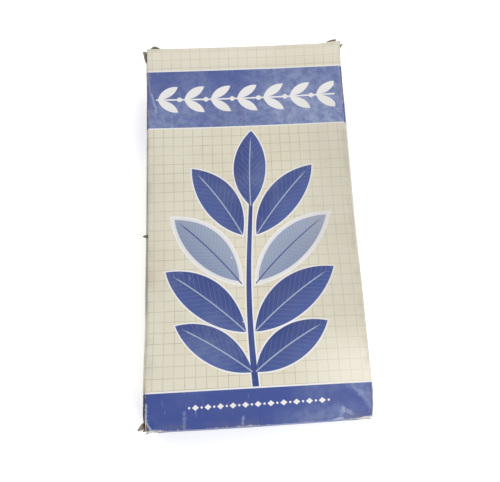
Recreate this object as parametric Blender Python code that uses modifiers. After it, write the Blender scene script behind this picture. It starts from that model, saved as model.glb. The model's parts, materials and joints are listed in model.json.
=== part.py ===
"""A worn folding carton of printed boxboard, with a tuck-in lid at each end, lying on its back panel.

Metres, +Z up. The origin is the middle of the back panel's outer face. +X is the right of the printed
front, +Y its top end. The top lid is creased to the back panel and tucks in behind the front panel.
The bottom lid is creased to the front panel and tucks in behind the back panel.
"""

import math

import bmesh
import bpy
from mathutils import Matrix, Vector

MM = 0.001

# The folded carton
WIDTH = 163 * MM
LENGTH = 308 * MM
DEPTH = 50 * MM
BOARD = 0.5 * MM
GAP = 0.3 * MM
CREASE_RADIUS = 1.8 * MM

# The glue flap inside the seam
GLUE_FLAP_WIDTH = 15 * MM
GLUE_FLAP_SLANT = 7 * MM

# The lids: a small clearance at each side, and corner ears left standing by the slits of the tuck's crease
LID_SIDE_CLEARANCE = 0.6 * MM
LID_CORNER = 1.2 * MM
SLIT_LENGTH = 8 * MM
SLIT_INSET = 2.6 * MM
TOP_EAR_RISE = 1.6 * MM
BOTTOM_EAR_RISE = -0.3 * MM

# The tuck flaps
TUCK_LENGTH = 16 * MM
TUCK_SIDE_CLEARANCE = 3.5 * MM
TUCK_ROUNDING = 9 * MM
TUCK_SWING_MARGIN = math.radians(2)

# The dust flaps
DUST_LENGTH = 45 * MM
DUST_ROOT_MARGIN = 2.4 * MM
DUST_SHOULDER = 7 * MM
DUST_TUCK_NOTCH = 9 * MM
DUST_TIP_TAPER = 3.5 * MM
DUST_ROUNDING = 3 * MM

# How far the walls have bellied out at mid length, on the two sides of the front
LEFT_BELLY = 2.6 * MM
RIGHT_BELLY = 4.0 * MM

# Lines of the sleeve's mesh, as shares of its length, width and depth
END_LINES = (0.010, 0.020, 0.031, 0.046, 0.070)
MIDDLE_LINES = 12
ACROSS_LINES = 8
WALL_LINES = (0.25, 0.50, 0.66, 0.76, 0.86, 0.93)
CREASE_STEPS = 4

# Rise of the front panel's middle along the carton. along: share of the half length, rise: share of the depth
FRONT_FORM = (
    {"along": -1.00, "rise": 0.000},
    {"along": -0.88, "rise": 0.012},
    {"along": -0.50, "rise": 0.040},
    {"along": 0.05, "rise": 0.016},
    {"along": 0.45, "rise": -0.026},
    {"along": 0.70, "rise": -0.050},
    {"along": 0.88, "rise": -0.006},
    {"along": 1.00, "rise": 0.000},
)

# Dents of the front panel. across and along: shares of the half width and half length, reach: share of
# the width, depth: share of the carton's depth
FRONT_DENTS = (
    {"across": 1.00, "along": -1.00, "reach": 0.17, "depth": 0.050},
    {"across": 0.93, "along": -0.86, "reach": 0.10, "depth": 0.020},
    {"across": -1.00, "along": -1.00, "reach": 0.06, "depth": 0.016},
)

# Side walls torn from their corners and splayed out. side and end: signs along X and Y, height and
# spread: shares of the depth, run: share of the length, out: share of the depth
SPLAYED_CORNERS = (
    {"side": -1, "end": 1, "height": 0.86, "spread": 0.34, "run": 0.046, "out": 0.090},
    {"side": -1, "end": -1, "height": 0.82, "spread": 0.30, "run": 0.031, "out": 0.140},
    {"side": 1, "end": 1, "height": 0.90, "spread": 0.24, "run": 0.031, "out": 0.050},
)

CREAM = (0.71, 0.66, 0.55, 1.0)
INK_BLUE = (0.055, 0.085, 0.26, 1.0)
GREYBACK = (0.30, 0.28, 0.23, 1.0)


def clear_scene():
    """Empties the file that Blender opened with."""
    for item in list(bpy.data.objects):
        bpy.data.objects.remove(item)


def material(name, colour, roughness):
    """A plain material of one colour."""
    made = bpy.data.materials.new(name)
    made.use_nodes = True
    shader = made.node_tree.nodes["Principled BSDF"]
    shader.inputs["Base Color"].default_value = colour
    shader.inputs["Roughness"].default_value = roughness
    shader.inputs["Metallic"].default_value = 0.0
    return made


def eased(share):
    """0 to 1 with level ends."""
    held = min(1.0, max(0.0, share))
    return held * held * (3.0 - 2.0 * held)


def front_rise(along):
    """Rise of the front panel's middle, in metres, at a share of the half length."""
    for low, high in zip(FRONT_FORM, FRONT_FORM[1:]):
        if along <= high["along"]:
            way = (along - low["along"]) / (high["along"] - low["along"])
            share = low["rise"] + (high["rise"] - low["rise"]) * eased(way)
            return share * DEPTH
    return FRONT_FORM[-1]["rise"] * DEPTH


def front_dent(x, y):
    """How far the dents press the front panel in at x, y."""
    pressed = 0.0
    for dent in FRONT_DENTS:
        centre = Vector((dent["across"] * WIDTH / 2, dent["along"] * LENGTH / 2))
        away = (Vector((x, y)) - centre).length / (dent["reach"] * WIDTH)
        pressed = max(pressed, dent["depth"] * DEPTH * eased(1.0 - away))
    return pressed


def wall_splay(x, y, z):
    """How far a torn corner pushes the wall at x, y, z out."""
    pushed = 0.0
    for corner in SPLAYED_CORNERS:
        if x * corner["side"] <= 0:
            continue
        up = abs(z / DEPTH - corner["height"]) / (corner["spread"] / 2)
        back = (LENGTH / 2 - y * corner["end"]) / (corner["run"] * LENGTH)
        if up < 1 and back < 1:
            pushed += corner["side"] * corner["out"] * DEPTH * eased(1 - up) * (1 - back)
    return pushed


def worn(point):
    """Moves a point of the square carton to where use has put it."""
    across = point.x / (WIDTH / 2)
    along = point.y / (LENGTH / 2)
    height = point.z / DEPTH
    belly = RIGHT_BELLY if across > 0 else LEFT_BELLY
    swell = belly * 4 * height * (1 - height) * (1 - along**4)
    rise = front_rise(along) * (1 - across * across) * height**8
    dent = front_dent(point.x, point.y) * height**2
    splay = wall_splay(point.x, point.y, point.z) * abs(across) ** 8
    return Vector((point.x + across * abs(across) * swell + splay, point.y, point.z + rise - dent))


def line_places():
    """Where the sleeve's mesh is cut, as (axis, place) pairs."""
    places = []
    for share in END_LINES:
        inward = LENGTH / 2 - share * LENGTH
        places += [(1, inward), (1, -inward)]
    span = LENGTH * (1 - 2 * END_LINES[-1])
    for step in range(1, MIDDLE_LINES):
        places.append((1, span * (step / MIDDLE_LINES - 0.5)))
    flat = WIDTH - 2 * CREASE_RADIUS
    for step in range(ACROSS_LINES):
        places.append((0, flat * (step / (ACROSS_LINES - 1) - 0.5) * 0.98))
    for share in WALL_LINES:
        places.append((2, share * DEPTH))
    return places


def sleeve(owner, look):
    """The four walls: one sheet of board folded round and glued, open at both ends."""
    mesh = bmesh.new()
    size = Matrix.Diagonal((WIDTH, LENGTH, DEPTH, 1))
    bmesh.ops.create_cube(mesh, size=1, matrix=Matrix.Translation((0, 0, DEPTH / 2)) @ size)
    long_edges = [
        edge for edge in mesh.edges
        if abs(edge.verts[0].co.y - edge.verts[1].co.y) > LENGTH / 2
    ]
    bmesh.ops.bevel(
        mesh, geom=long_edges, offset=CREASE_RADIUS, segments=CREASE_STEPS, profile=0.5, affect="EDGES"
    )
    ends = [face for face in mesh.faces if abs(face.normal.y) > 0.5]
    bmesh.ops.delete(mesh, geom=ends, context="FACES")
    for axis, place in line_places():
        spot = Vector((0, 0, 0))
        spot[axis] = place
        way = Vector((0, 0, 0))
        way[axis] = 1
        everything = mesh.verts[:] + mesh.edges[:] + mesh.faces[:]
        bmesh.ops.bisect_plane(mesh, geom=everything, plane_co=spot, plane_no=way)
    for vertex in mesh.verts:
        vertex.co = worn(vertex.co)
    bmesh.ops.recalc_face_normals(mesh, faces=mesh.faces[:])
    data = bpy.data.meshes.new("sleeve")
    mesh.to_mesh(data)
    mesh.free()
    data.shade_smooth()
    made = bpy.data.objects.new("sleeve", data)
    made.data.materials.append(look)
    owner.objects.link(made)
    wall = made.modifiers.new("board", "SOLIDIFY")
    wall.thickness = BOARD
    wall.offset = -1
    wall.use_even_offset = True
    return made


def rounded(corners):
    """The outline through (x, y, radius) corners, with an arc at each corner that has a radius."""
    outline = []
    for index, (x, y, radius) in enumerate(corners):
        here = Vector((x, y))
        if radius <= 0:
            outline.append(here)
            continue
        before = (Vector(corners[index - 1][:2]) - here).normalized()
        after = (Vector(corners[(index + 1) % len(corners)][:2]) - here).normalized()
        half = before.angle(after) / 2
        reach = radius / math.tan(half)
        centre = here + (before + after).normalized() * (radius / math.sin(half))
        start = here + before * reach - centre
        turn = start.angle_signed(here + after * reach - centre)
        steps = 6
        for step in range(steps + 1):
            outline.append(centre + Matrix.Rotation(-turn * step / steps, 2) @ start)
    return outline


def plate(name, corners, owner, parent, place, look):
    """A flat piece of board cut to an outline, standing on its own plane at place under parent."""
    curve = bpy.data.curves.new(name, "CURVE")
    curve.dimensions = "2D"
    curve.fill_mode = "BOTH"
    curve.extrude = BOARD / 2
    points = rounded(corners)
    spline = curve.splines.new("POLY")
    spline.points.add(len(points) - 1)
    for spot, point in zip(spline.points, points):
        spot.co = (point.x, point.y, 0, 1)
    spline.use_cyclic_u = True
    curve.materials.append(look)
    made = bpy.data.objects.new(name, curve)
    made.parent = parent
    made.matrix_local = place
    owner.objects.link(made)
    return made


def hinge(name, owner, parent, place):
    """An empty on a crease's axis, which carries what folds there."""
    made = bpy.data.objects.new(name, None)
    made.empty_display_size = 10 * MM
    made.parent = parent
    made.matrix_local = place
    owner.objects.link(made)
    return made


def glue_flap(owner, look):
    """The strip of the seam, glued to the back panel's inner face."""
    seam = -WIDTH / 2 + CREASE_RADIUS + GAP
    half = LENGTH / 2 - GLUE_FLAP_SLANT
    corners = (
        (seam, -half, 0),
        (seam + GLUE_FLAP_WIDTH, -half + GLUE_FLAP_SLANT, 0),
        (seam + GLUE_FLAP_WIDTH, half - GLUE_FLAP_SLANT, 0),
        (seam, half, 0),
    )
    height = BOARD + GAP + BOARD / 2
    return plate("glue_flap", corners, owner, None, Matrix.Translation((0, 0, height)), look)


# The lid's crease lies half a gap outside the sleeve's end, and so high that the open lid is level with
# the panel that it is creased to.
LID_AXIS_OUT = GAP / 2
LID_AXIS_UP = GAP + BOARD - LID_AXIS_OUT
LID_ROOT = LID_AXIS_UP + GAP / 2
LID_MIDDLE_OUT = GAP + BOARD / 2
TUCK_AXIS_UP = DEPTH - BOARD - GAP - BOARD / 2
LID_REACH = TUCK_AXIS_UP - LID_AXIS_UP
# The closed tuck leans inward, so that its tip swings out clear of the panel in front of it.
TUCK_LEAN = math.asin(TUCK_LENGTH / (2 * LID_REACH)) + TUCK_SWING_MARGIN


def lid_corners(ear_rise, crushed):
    """Outline of a lid over its crease's axis. crushed is the drop of its root's right corner."""
    side = WIDTH / 2 - LID_SIDE_CLEARANCE
    root = LID_ROOT - LID_AXIS_UP
    fold = TUCK_AXIS_UP + BOARD / 2 - LID_AXIS_UP
    ear = DEPTH + ear_rise - LID_AXIS_UP
    ear_outer = WIDTH / 2 - SLIT_INSET
    ear_inner = ear_outer - SLIT_LENGTH
    shoulder = DEPTH - BOARD - LID_AXIS_UP
    crush_run = FRONT_DENTS[0]["reach"] * WIDTH
    corners = [(-side, root, LID_CORNER), (side - crush_run, root, 0)]
    corners += [(side, root + crushed, LID_CORNER)] if crushed > 0 else [(side, root, LID_CORNER)]
    corners += [
        (side, shoulder, LID_CORNER / 2),
        (ear_outer, ear, 0),
        (ear_inner, ear, 0),
        (ear_inner, fold, 0),
        (-ear_inner, fold, 0),
        (-ear_inner, ear, 0),
        (-ear_outer, ear, 0),
        (-side, shoulder, LID_CORNER / 2),
    ]
    return corners


def tuck_corners():
    """Outline of a tuck flap from its crease inward: a neck between the slits, then the full width."""
    neck = WIDTH / 2 - SLIT_INSET - SLIT_LENGTH - GAP
    side = WIDTH / 2 - TUCK_SIDE_CLEARANCE
    slit = BOARD + GAP
    return (
        (-neck, 0, 0),
        (-neck, slit, 0),
        (-side, slit + GAP, 0),
        (-side, TUCK_LENGTH, TUCK_ROUNDING),
        (side, TUCK_LENGTH, TUCK_ROUNDING),
        (side, slit + GAP, 0),
        (neck, slit, 0),
        (neck, 0, 0),
    )


def dust_corners(side, low, high):
    """Outline of a dust flap from its crease towards the carton's middle, notched beside the tuck.

    low and high are the dents of the panels at its two ends, which its crease keeps clear of.
    """
    root = DUST_ROOT_MARGIN + low
    top = DEPTH - BOARD - GAP - DUST_ROOT_MARGIN - high
    corners = (
        (0, root, 0),
        (DUST_LENGTH, root + DUST_TIP_TAPER, DUST_ROUNDING),
        (DUST_LENGTH, DEPTH - DUST_TUCK_NOTCH - DUST_TIP_TAPER, DUST_ROUNDING),
        (DUST_SHOULDER, DEPTH - DUST_TUCK_NOTCH, 0),
        (DUST_SHOULDER - DUST_ROOT_MARGIN, top, 0),
        (0, top, 0),
    )
    mirrored = [(-side * along, up, radius) for along, up, radius in corners]
    return mirrored if side < 0 else mirrored[::-1]


def closure(end, owner, place, ear_rise, looks):
    """The four flaps of one end, in a frame on its lid's panel: +Y out of the end, +Z across it."""
    on_front = place.translation.z > 0
    dents = {side: front_dent(side * WIDTH / 2, place.translation.y) for side in (-1, 1)}
    crushed = dents[1] if on_front else 0
    frame = hinge(f"{end}_end", owner, None, place)
    upright = Matrix.Rotation(math.pi / 2, 4, "X")
    axis = Matrix.Translation((0, LID_AXIS_OUT, LID_AXIS_UP))
    lid_axis = hinge(f"{end}_lid_axis", owner, frame, axis)
    lid_place = Matrix.Translation((0, LID_MIDDLE_OUT - LID_AXIS_OUT, 0)) @ upright
    plate(f"{end}_lid", lid_corners(ear_rise, crushed), owner, lid_axis, lid_place, looks["print"])
    axis = Matrix.Translation((0, -LID_AXIS_OUT, LID_REACH))
    tuck_axis = hinge(f"{end}_tuck_axis", owner, lid_axis, axis)
    inward = Matrix.Rotation(math.pi + TUCK_LEAN, 4, "X")
    plate(f"{end}_tuck", tuck_corners(), owner, tuck_axis, inward, looks["print"])
    for side, word in ((-1, "left"), (1, "right")):
        root = side * (WIDTH / 2 - BOARD - GAP)
        axis = Matrix.Translation((root, -GAP - BOARD / 2, 0))
        dust_axis = hinge(f"{end}_dust_{word}_axis", owner, frame, axis)
        low, high = (dents[side], 0) if on_front else (0, dents[side])
        corners = dust_corners(side, low, high)
        plate(f"{end}_dust_{word}", corners, owner, dust_axis, upright, looks["plain"])


def build():
    """Makes the carton in its own collection."""
    clear_scene()
    owner = bpy.data.collections.new("folding_carton")
    bpy.context.scene.collection.children.link(owner)
    cream = material("printed_board", CREAM, 0.45)
    blue = material("printed_board_blue", INK_BLUE, 0.45)
    grey = material("grey_board_back", GREYBACK, 0.85)
    sleeve(owner, cream)
    glue_flap(owner, grey)
    top = Matrix.Translation((0, LENGTH / 2, 0))
    bottom = Matrix.Translation((0, -LENGTH / 2, DEPTH)) @ Matrix.Rotation(math.pi, 4, "X")
    closure("top", owner, top, TOP_EAR_RISE, {"print": cream, "plain": grey})
    closure("bottom", owner, bottom, BOTTOM_EAR_RISE, {"print": blue, "plain": grey})


build()
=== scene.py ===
"""Looks of a worn folding carton that lies on its back panel: printed board, creases, tears and scuffs.

Metres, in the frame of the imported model: +Z up out of the printed front, +Y towards the top lid.

Every printed piece is cut from one flat blank and folded. A point of the blank has two coordinates, kept
in the UV map BLANK. s runs round the four walls, from the left wall's lower edge over the left wall, the
front, the right wall and the back. v runs along the carton, and on past each end into the lids.
"""

import json
import math
from functools import partialmethod

import bmesh
import bpy
import numpy as np
from mathutils import Euler, Matrix, Vector


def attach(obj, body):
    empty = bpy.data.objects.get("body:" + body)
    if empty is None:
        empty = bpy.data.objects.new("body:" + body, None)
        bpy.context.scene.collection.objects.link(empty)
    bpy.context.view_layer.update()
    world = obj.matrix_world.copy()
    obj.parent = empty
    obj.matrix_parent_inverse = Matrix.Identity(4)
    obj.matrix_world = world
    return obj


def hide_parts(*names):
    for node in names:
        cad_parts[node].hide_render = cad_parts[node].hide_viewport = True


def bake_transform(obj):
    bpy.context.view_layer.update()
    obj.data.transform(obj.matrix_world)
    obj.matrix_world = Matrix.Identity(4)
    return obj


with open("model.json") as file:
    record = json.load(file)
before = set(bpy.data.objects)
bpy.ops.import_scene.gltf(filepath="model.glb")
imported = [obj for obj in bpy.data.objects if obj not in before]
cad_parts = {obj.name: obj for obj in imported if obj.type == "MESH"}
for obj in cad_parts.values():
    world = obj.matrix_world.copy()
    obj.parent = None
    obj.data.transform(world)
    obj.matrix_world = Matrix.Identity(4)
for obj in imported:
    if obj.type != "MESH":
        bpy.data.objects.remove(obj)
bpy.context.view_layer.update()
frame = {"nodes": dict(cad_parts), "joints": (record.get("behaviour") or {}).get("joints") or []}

MM = 0.001
BLANK = "blank"
BAKE = "OFBake"

# The carton's sizes, read back from its hinges
BOARD = 0.5 * MM
CREASE_GAP = 0.3 * MM
HINGES = {joint["name"]: Vector(joint["pos_m"]) for joint in frame["joints"]}
HALF_WIDTH = HINGES["top_dust_right_hinge"].x + BOARD + CREASE_GAP
HALF_LENGTH = HINGES["top_dust_right_hinge"].y + CREASE_GAP + BOARD / 2
LID_AXIS = Vector((HINGES["top_lid_hinge"].y - HALF_LENGTH, HINGES["top_lid_hinge"].z))
DEPTH = HINGES["bottom_lid_hinge"].z + LID_AXIS.y
WIDTH = 2 * HALF_WIDTH
LENGTH = 2 * HALF_LENGTH
ROUND = 2 * (WIDTH + DEPTH)

# Where the blank's long creases are, in s
FRONT_LEFT = DEPTH
FRONT_RIGHT = DEPTH + WIDTH
BACK_RIGHT = 2 * DEPTH + WIDTH
CREASES = (0, FRONT_LEFT, FRONT_RIGHT, BACK_RIGHT, ROUND)
FRONT_MIDDLE = DEPTH + WIDTH / 2
BACK_MIDDLE = 2 * DEPTH + 1.5 * WIDTH

# Where the pieces of the walls meet, on flat board just past a crease
SEAM_INSET = 5 * MM
LID_STRIP = 3 * MM

# How far under its fold a torn crease parts
TEAR_EDGE = 0.3 * MM

# Names and signs of the ends and sides, and where the lids' middles are, in s
SIGNS = {"top": 1, "bottom": -1}
MIDDLES = {"top": BACK_MIDDLE, "bottom": FRONT_MIDDLE}
SIDES = {-1: "left", 1: "right"}


def rows_of(names, *rows):
    """A table: each of its rows as a dict with the same names."""
    return tuple(dict(zip(names.split(), row)) for row in rows)


# The folded shape


def eased(share):
    """0 to 1 with level ends."""
    held = np.clip(share, 0.0, 1.0)
    return held * held * (3.0 - 2.0 * held)


def form(at, column):
    """A column of LONG_FORM, read at the places at with eased steps between its rows."""
    places = [row["along"] for row in LONG_FORM]
    values = [row[column] for row in LONG_FORM]
    at = np.clip(at, places[0], places[-1])
    index = np.clip(np.searchsorted(places, at, side="right") - 1, 0, len(places) - 2)
    low = np.take(places, index)
    high = np.take(places, index + 1)
    way = eased((at - low) / (high - low))
    return np.take(values, index) * (1 - way) + np.take(values, index + 1) * way


# Along the carton, as shares of its half length. rise: of the front's middle, a share of the depth.
# left and right: how far the front's long edges stand out, shares of the width. radius_left and
# radius_right: of those edges, shares of the depth. shoulder: the left wall's swell just under its edge,
# a share of the depth.
LONG_FORM = rows_of(
    "along rise left right radius_left radius_right shoulder",
    (-1.00, 0.000, 0.0000, 0.0070, 0.036, 0.036, 0.024),
    (-0.93, 0.008, 0.0015, 0.0145, 0.034, 0.046, 0.050),
    (-0.85, 0.016, 0.0005, 0.0165, 0.030, 0.050, 0.044),
    (-0.50, 0.040, -0.0085, 0.0065, 0.028, 0.056, 0.024),
    (0.05, 0.016, -0.0085, -0.0085, 0.030, 0.062, 0.014),
    (0.45, -0.026, -0.0055, -0.0060, 0.034, 0.070, 0.011),
    (0.70, -0.050, -0.0020, -0.0015, 0.034, 0.074, 0.011),
    (0.88, -0.016, 0.0045, 0.0025, 0.034, 0.060, 0.012),
    (0.96, -0.020, 0.0055, 0.0055, 0.036, 0.044, 0.004),
    (1.00, -0.026, 0.0065, 0.0100, 0.036, 0.036, 0.000),
)
BACK_RADIUS = 1.6 * MM
LEFT_BELLY = 2.6 * MM
RIGHT_BELLY = 4.0 * MM
# 1 over the highest value of height**3 * (1 - height)
SHOULDER_PEAK = 256 / 27

# The bottom end is racked: how far its left side stands out past its right one, a share of the width, and
# where along the carton that starts
RACK = {"out": 0.0235, "from": -0.60}

# Round dents and lifted places of the front. across and along: shares of the half sizes, reach: of the
# width, height: of the depth
DENTS = rows_of(
    "across along reach height",
    (1.00, -1.00, 0.17, 0.050),
    (0.93, -0.86, 0.10, 0.020),
    (-1.00, -1.00, 0.06, 0.016),
    (-0.99, 0.34, 0.05, 0.006),
    (0.35, 0.93, 0.16, 0.008),
    (-0.45, -0.55, 0.20, 0.006),
)
LIFTS = rows_of("across along reach height", (0.95, 1.00, 0.090, 0.050), (-0.93, 0.99, 0.050, 0.010))

# Broken lines in the front's board. Ends: shares of the half sizes, height and width: of its thickness
BREAKS = rows_of(
    "from to height width",
    ((0.72, -0.87), (0.98, -0.975), 1.0, 2.6),
    ((0.66, -0.960), (0.78, -0.990), 0.7, 2.0),
    ((0.99, -0.91), (0.90, -0.992), -0.9, 2.4),
    ((-0.97, -0.93), (-0.88, -0.99), 0.5, 2.2),
    ((-0.06, -0.93), (-0.02, -0.995), 0.35, 1.6),
    ((0.86, 0.985), (0.97, 0.90), 0.6, 2.0),
    ((-0.97, 0.955), (-0.88, 0.99), 0.5, 2.0),
)

# A flat pressed into the front: what lies left of the line, seen from its start, slopes down
FLAT = {"from": (0.769, -0.829), "to": (0.980, -0.956), "slope": 0.085}

# Corners where the crease is torn and the strip of wall under it splays out. run: of the tear, a share of
# the length. lean: of the wall below the strip, a share of the depth. turn: of the strip, in degrees, which
# grows along the run with the power opening. root_cut and tip_cut: how far short of the carton's end the
# strip stops at its root and at its free edge, shares of its width.
TEARS = rows_of(
    "side end run lean turn opening root_cut tip_cut",
    (-1, 1, 0.042, 0.016, 44, 0.4, 0.0, 0.44),
    (-1, -1, 0.021, 0.034, 88, 0.6, 0.6, 0.16),
    (1, 1, 0.018, 0.012, 26, 0.5, 0.0, 0.55),
)

# A flake of board on the left crease: its middle, its length and how far it stands out
FLAKE = {"v": -12.5 * MM, "run": 3.8 * MM, "reach": 4.4 * MM}


def ragged(places, size, seed):
    """The wander of a torn edge at places along it, up to about size."""
    random = np.random.default_rng(seed)
    wander = 0
    for wave, share in ((5.1 * MM, 0.5), (2.3 * MM, 0.3), (1.1 * MM, 0.2)):
        wander += size * share * np.sin(places / wave * math.tau + random.uniform(0, math.tau))
    return wander


def racked(points):
    """The points with the bottom end pushed out of square."""
    along = eased((RACK["from"] - points[..., 1] / HALF_LENGTH) / (1 + RACK["from"]))
    out = RACK["out"] * WIDTH * (1 - points[..., 0] / HALF_WIDTH) / 2
    moved = points.copy()
    moved[..., 1] -= out * along
    return moved


def mounds(x, y, places):
    """The heights at x, y of round mounds on the front, one for each of the places."""
    for place in places:
        away = np.hypot(x - place["across"] * HALF_WIDTH, y - place["along"] * HALF_LENGTH)
        yield place["height"] * DEPTH * eased(1.0 - away / (place["reach"] * WIDTH))


def corner_dent(x, y):
    """How far the dents press the front in at x, y."""
    return np.max(list(mounds(x, y, DENTS)), axis=0)


def beside(x, y, line):
    """Where x, y is beside a line on the front: its share along the line, and how far left of it."""
    scale = np.array((HALF_WIDTH, HALF_LENGTH))
    start = np.array(line["from"]) * scale
    way = np.array(line["to"]) * scale - start
    length = np.hypot(*way)
    along = ((x - start[0]) * way[0] + (y - start[1]) * way[1]) / length**2
    return along, ((y - start[1]) * way[0] - (x - start[0]) * way[1]) / length


def break_height(x, y):
    """Height of the broken lines over the front at x, y: sharp ridges or furrows that fade at their ends."""
    height = 0
    for line in BREAKS:
        along, aside = beside(x, y, line)
        fade = eased(along * 4) * eased((1 - along) * 4 + 0.3)
        ridge = np.exp(-np.abs(aside) / (line["width"] * BOARD))
        height = height + line["height"] * BOARD * ridge * fade
    return height


def flat_drop(x, y):
    """How far the pressed flat lies below the front at x, y."""
    along, aside = beside(x, y, FLAT)
    fade = eased(along * 3 + 1) * eased((1.3 - along) * 4)
    return FLAT["slope"] * np.clip(aside, 0, None) * fade


def crease_of(tear):
    """Where in s the tear's crease is."""
    return FRONT_LEFT if tear["side"] < 0 else FRONT_RIGHT


def tear_start(tear):
    """How far from the carton's middle the tear starts."""
    return HALF_LENGTH - tear["run"] * LENGTH


def lean(s, y, z):
    """How far the walls lean out beside the torn creases."""
    out = 0
    for tear in TEARS:
        back = (HALF_LENGTH - y * tear["end"]) / (tear["run"] * LENGTH)
        shape = eased((z / DEPTH - 0.45) / 0.40) * np.clip(1 - back, 0, 1) ** 2
        below = (s - crease_of(tear)) * tear["side"] > TEAR_EDGE * 1.01
        out = out + np.where(below, tear["side"] * tear["lean"] * DEPTH * shape, 0)
    return out


def fold_walls(s, v, leaning=True):
    """Outer skin of the four walls at blank coordinates s, v: an array with x, y, z last."""
    s = np.mod(s, ROUND)
    y = np.clip(v, -HALF_LENGTH, HALF_LENGTH)
    along = y / HALF_LENGTH
    x = np.interp(s, CREASES, (-HALF_WIDTH, -HALF_WIDTH, HALF_WIDTH, HALF_WIDTH, -HALF_WIDTH))
    z = np.interp(s, CREASES, (0, DEPTH, DEPTH, 0, 0))
    left = form(along, "radius_left") * DEPTH
    right = form(along, "radius_right") * DEPTH
    radius = np.where(z > DEPTH / 2, np.where(x > 0, right, left), BACK_RADIUS)
    centre_x = np.clip(x, -HALF_WIDTH + radius, HALF_WIDTH - radius)
    centre_z = np.clip(z, radius, DEPTH - radius)
    reach = np.maximum(np.hypot(x - centre_x, z - centre_z), 1e-9)
    x = centre_x + (x - centre_x) * radius / reach
    z = centre_z + (z - centre_z) * radius / reach
    across = x / HALF_WIDTH
    height = np.clip(z / DEPTH, 0, 1)
    belly = np.where(across > 0, RIGHT_BELLY, LEFT_BELLY)
    swell = belly * 4 * height * (1 - height) * (1 - along**4)
    shoulder = np.where(across < 0, form(along, "shoulder"), 0) * DEPTH
    swell = swell + shoulder * SHOULDER_PEAK * height**3 * (1 - height)
    edge = np.where(across > 0, form(along, "right"), form(along, "left"))
    edge = edge * WIDTH * height**3 * np.abs(across)
    rise = form(along, "rise") * DEPTH * (1 - across**2)
    pressed = corner_dent(x, y) + flat_drop(x, y)
    raised = break_height(x, y) + sum(mounds(x, y, LIFTS))
    top = rise * height**8 - pressed * height**2 + raised * height**12
    moved_x = x + across * np.abs(across) * swell + np.sign(x) * edge
    if leaning:
        moved_x = moved_x + lean(s, y, z)
    return np.stack(np.broadcast_arrays(moved_x, y, z + top), axis=-1)


# The path of the board across an end, in the plane of y outward and z up from the lid's own panel
CREASE_RADIUS = LID_AXIS.y
TUCK_HINGE_UP = HINGES["top_tuck_hinge"].z
TUCK_CREASE_RADIUS = 0.7 * MM
TUCK_CREASE_UP = TUCK_HINGE_UP + BOARD / 2 - TUCK_CREASE_RADIUS
TUCK_LENGTH = 15.9 * MM
TUCK_SOLID_LENGTH = 16 * MM
TUCK_EXTRA_LEAN = math.radians(2)
TUCK_LEAN = math.asin(TUCK_SOLID_LENGTH / (2 * (TUCK_HINGE_UP - LID_AXIS.y))) + TUCK_EXTRA_LEAN
TUCK_SEAM_UP = 47 * MM

CREASE_START = LID_AXIS.x
CREASE_END = CREASE_START + CREASE_RADIUS * math.pi / 2
TUCK_CREASE_START = CREASE_END + TUCK_CREASE_UP - LID_AXIS.y
TUCK_CREASE_END = TUCK_CREASE_START + TUCK_CREASE_RADIUS * (math.pi / 2 + TUCK_LEAN)
TUCK_SEAM = CREASE_END + TUCK_SEAM_UP - LID_AXIS.y
TUCK_END = TUCK_CREASE_END + TUCK_LENGTH

# Lids: side clearance, and the ears that the tuck's slits leave standing
LID_SIDE = HALF_WIDTH - 0.6 * MM
LID_CREASE_SIDE = HALF_WIDTH - 1.8 * MM
EAR_OUTER = HALF_WIDTH - 2.6 * MM
EAR_INNER = EAR_OUTER - 8 * MM
TUCK_NECK = EAR_INNER - CREASE_GAP
TUCK_SIDE = HALF_WIDTH - 3.5 * MM
TUCK_ROUNDING = 9 * MM
CRUSHED_RUN = 12 * MM
CRUSH_BULGE = 0.2
LID_BOW = {"top": 0.0, "bottom": 0.9 * MM}
EAR_CURL = 0.5 * MM

# The bottom lid's left corner is burst: it stands out under its crease
BURST = {"out": 1.2 * MM, "reach": 6 * MM, "run": 6 * MM}

# How far the ears' upper edges rise over the front at their outer side, middle and inner side: of the depth
EARS = {
    ("top", -1): (-0.024, 0.040, -0.034),
    ("top", 1): (0.058, 0.050, -0.008),
    ("bottom", -1): (-0.012, -0.010, -0.030),
    ("bottom", 1): (-0.030, -0.014, -0.020),
}


def path_across(t, straight):
    """y and z along the end's path at length t. straight goes on upward past the tuck's crease."""
    turn = np.clip((t - CREASE_START) / CREASE_RADIUS, 0, math.pi / 2)
    y = np.where(t < CREASE_START, t, LID_AXIS.x + CREASE_RADIUS * np.sin(turn))
    z = np.where(t < CREASE_START, 0, LID_AXIS.y - CREASE_RADIUS * np.cos(turn))
    z = z + np.clip(t - CREASE_END, 0, None if straight else TUCK_CREASE_START - CREASE_END)
    if straight:
        return y, z
    turn = np.clip((t - TUCK_CREASE_START) / TUCK_CREASE_RADIUS, 0, math.pi / 2 + TUCK_LEAN)
    y = y - TUCK_CREASE_RADIUS * (1 - np.cos(turn))
    z = z + TUCK_CREASE_RADIUS * np.sin(turn)
    beyond = np.clip(t - TUCK_CREASE_END, 0, None)
    return y - beyond * math.cos(TUCK_LEAN), z - beyond * math.sin(TUCK_LEAN)


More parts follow.
